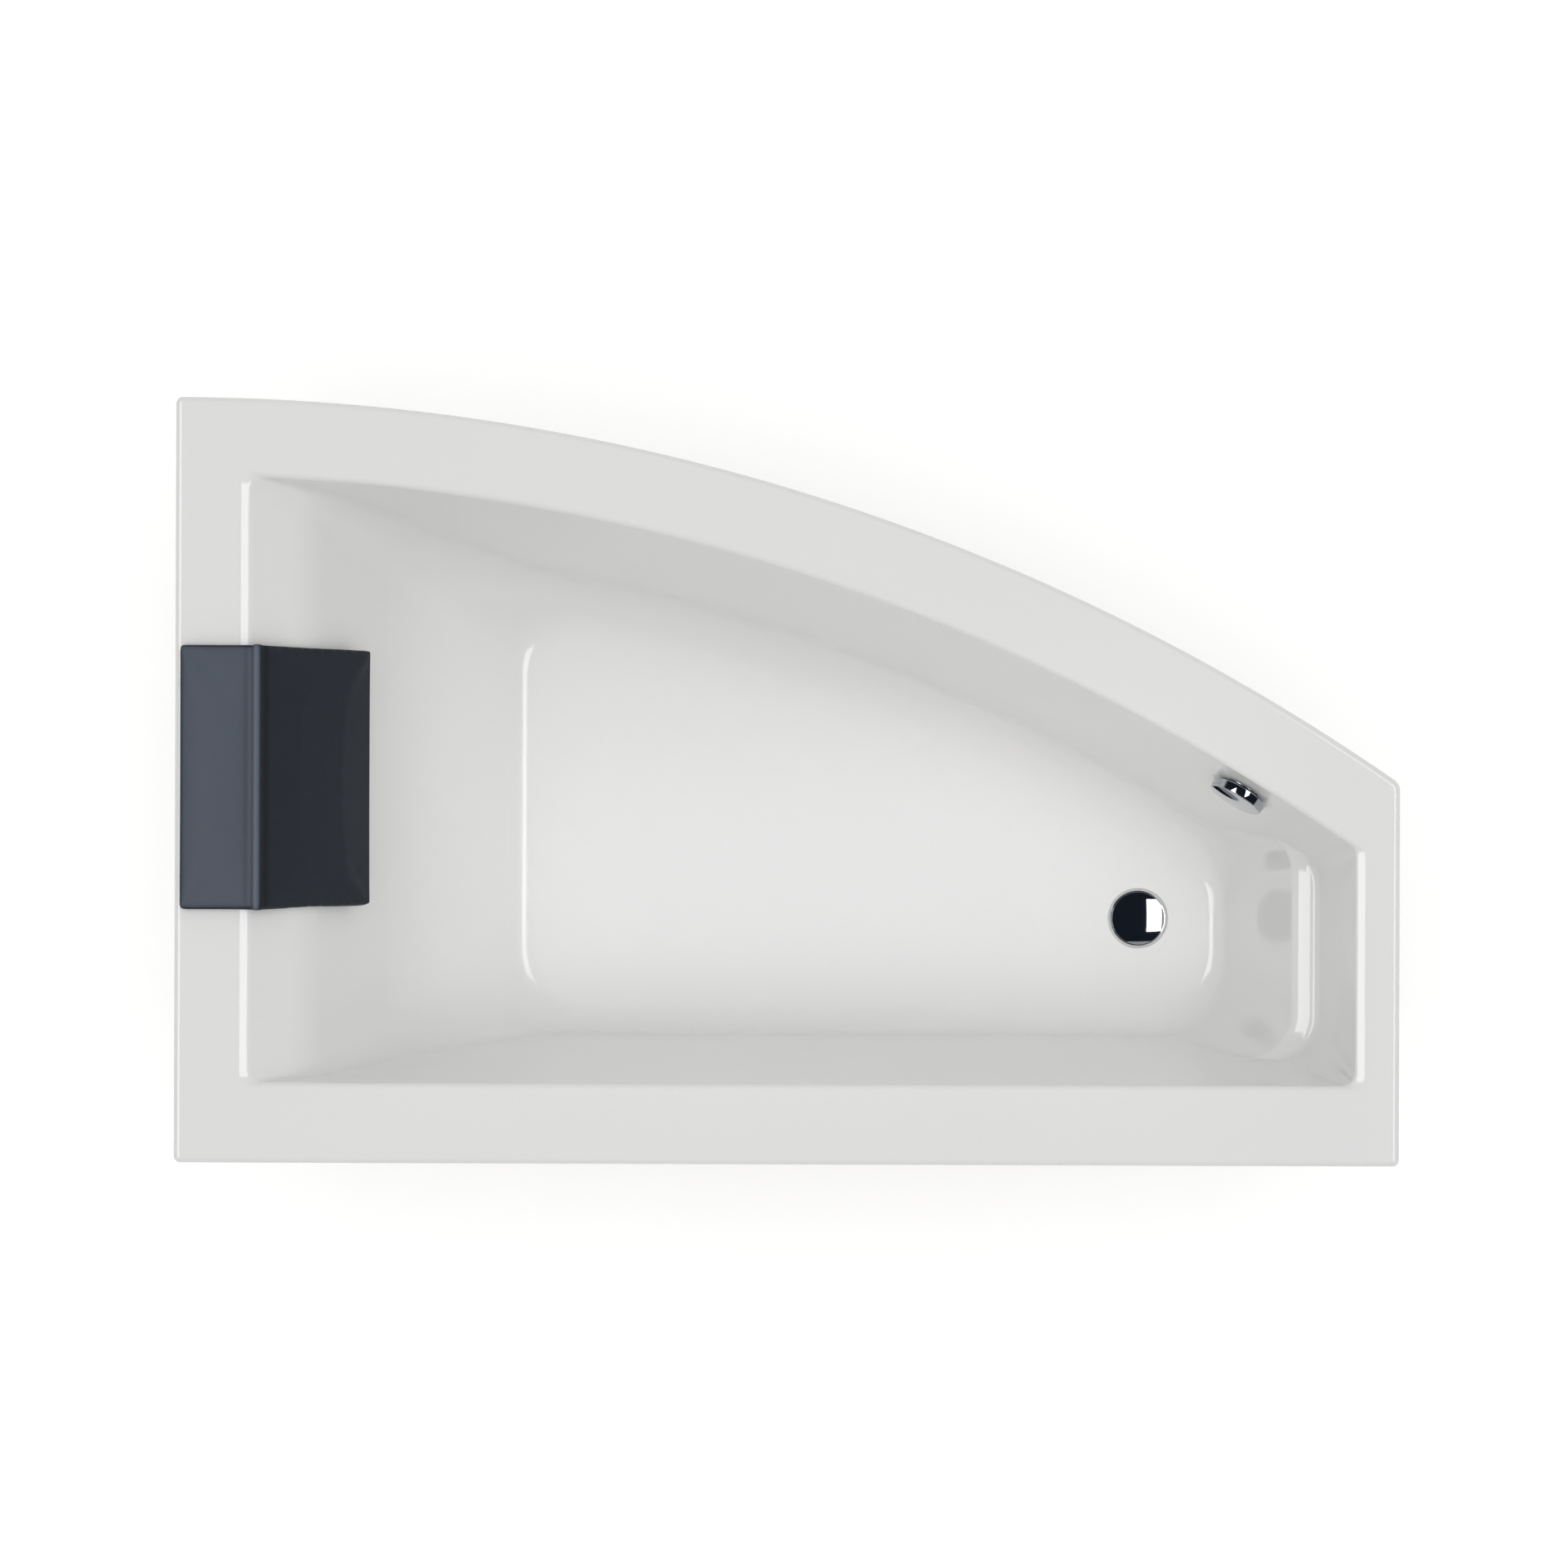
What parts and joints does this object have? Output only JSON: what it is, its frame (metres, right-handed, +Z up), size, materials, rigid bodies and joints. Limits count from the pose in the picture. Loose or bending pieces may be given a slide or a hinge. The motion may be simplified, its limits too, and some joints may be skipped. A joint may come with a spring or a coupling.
{
  "type": "corner bathtub",
  "caption": "Handed acrylic corner bathtub with a bowed front, sloping head end, stepped foot end, lift-off headrest, pop-up waste with turning overflow knob, trap and levelling feet.",
  "frame": {"origin": "on the floor, under the middle of the rim's bounding rectangle", "axes": "+X from the head end to the foot end, +Y from the straight wall side to the bowed front, +Z up"},
  "size_m": [1.6, 1, 0.595],
  "materials": {
    "acrylic": "gloss",
    "chipboard": "matte",
    "zinc_steel": "satin",
    "black_plastic": "matte",
    "white_plastic": "satin",
    "hose_plastic": "satin",
    "chrome": "polished",
    "seal_rubber": "matte",
    "headrest_foam": "satin"
  },
  "bodies": {
    "root": {"tub_shell": "acrylic", "base_board": "chipboard", "wall_rim_batten": "chipboard", "head_rim_batten": "chipboard", "head_cross_rail": "zinc_steel", "foot_cross_rail": "zinc_steel", "rail_screws": "zinc_steel", "foot_bushes": "zinc_steel", "foot_lock_nuts": "zinc_steel", "wall_clips": "zinc_steel", "waste_flange_seal": "seal_rubber", "waste_gasket": "seal_rubber", "waste_flange": "chrome", "waste_body": "white_plastic", "trap_seal": "seal_rubber", "trap_nut": "white_plastic", "trap_body": "white_plastic", "outlet_elbow": "white_plastic", "outlet_seal": "seal_rubber", "overflow_gasket": "seal_rubber", "overflow_bezel": "chrome", "overflow_housing": "white_plastic", "overflow_screws": "zinc_steel", "overflow_hose": "hose_plastic", "bowden_cable": "black_plastic", "hose_nuts": "white_plastic", "cable_clips": "black_plastic"},
    "knob": {"overflow_knob": "chrome", "knob_shaft": "zinc_steel", "drive_cam": "black_plastic"},
    "plug": {"waste_plug": "chrome", "plug_seal": "seal_rubber", "plug_stem": "chrome"},
    "lever": {"lift_lever": "white_plastic"},
    "headrest": {"headrest_cushion": "headrest_foam", "headrest_suction_cups": "seal_rubber"},
    "foot_1": {"foot_rod_1": "zinc_steel", "foot_pad_1": "black_plastic"},
    "foot_2": {"foot_rod_2": "zinc_steel", "foot_pad_2": "black_plastic"},
    "foot_3": {"foot_rod_3": "zinc_steel", "foot_pad_3": "black_plastic"},
    "foot_4": {"foot_rod_4": "zinc_steel", "foot_pad_4": "black_plastic"}
  },
  "joints": [
    {"name": "knob_turn", "type": "hinge", "parent": "root", "child": "knob", "pos_m": [0.603, -0.00824, 0.502], "axis": [-0.5141, -0.8434, 0.1564], "range_deg": [0, 90]},
    {"name": "plug_lift", "type": "slide", "parent": "root", "child": "plug", "axis": [0, 0, 1], "range_m": [0, 0.01]},
    {"name": "lever_tilt", "type": "hinge", "parent": "root", "child": "lever", "pos_m": [0.51589, -0.17708, 0.104], "axis": [-0.8958, 0.4445, 0], "range_deg": [0, 30]},
    {"name": "headrest_lift", "type": "slide", "parent": "root", "child": "headrest", "axis": [0, 0, 1], "range_m": [0, 0.2]},
    {"name": "foot_1_level", "type": "slide", "parent": "root", "child": "foot_1", "axis": [0, 0, 1], "range_m": [-0.01, 0.014]},
    {"name": "foot_2_level", "type": "slide", "parent": "root", "child": "foot_2", "axis": [0, 0, 1], "range_m": [-0.01, 0.014]},
    {"name": "foot_3_level", "type": "slide", "parent": "root", "child": "foot_3", "axis": [0, 0, 1], "range_m": [-0.01, 0.014]},
    {"name": "foot_4_level", "type": "slide", "parent": "root", "child": "foot_4", "axis": [0, 0, 1], "range_m": [-0.01, 0.014]}
  ],
  "couplings": [
    {"joint": "plug_lift", "follows": "knob_turn", "m_per_rad": 0.0063662},
    {"joint": "lever_tilt", "follows": "knob_turn", "ratio": 0.33333}
  ]
}
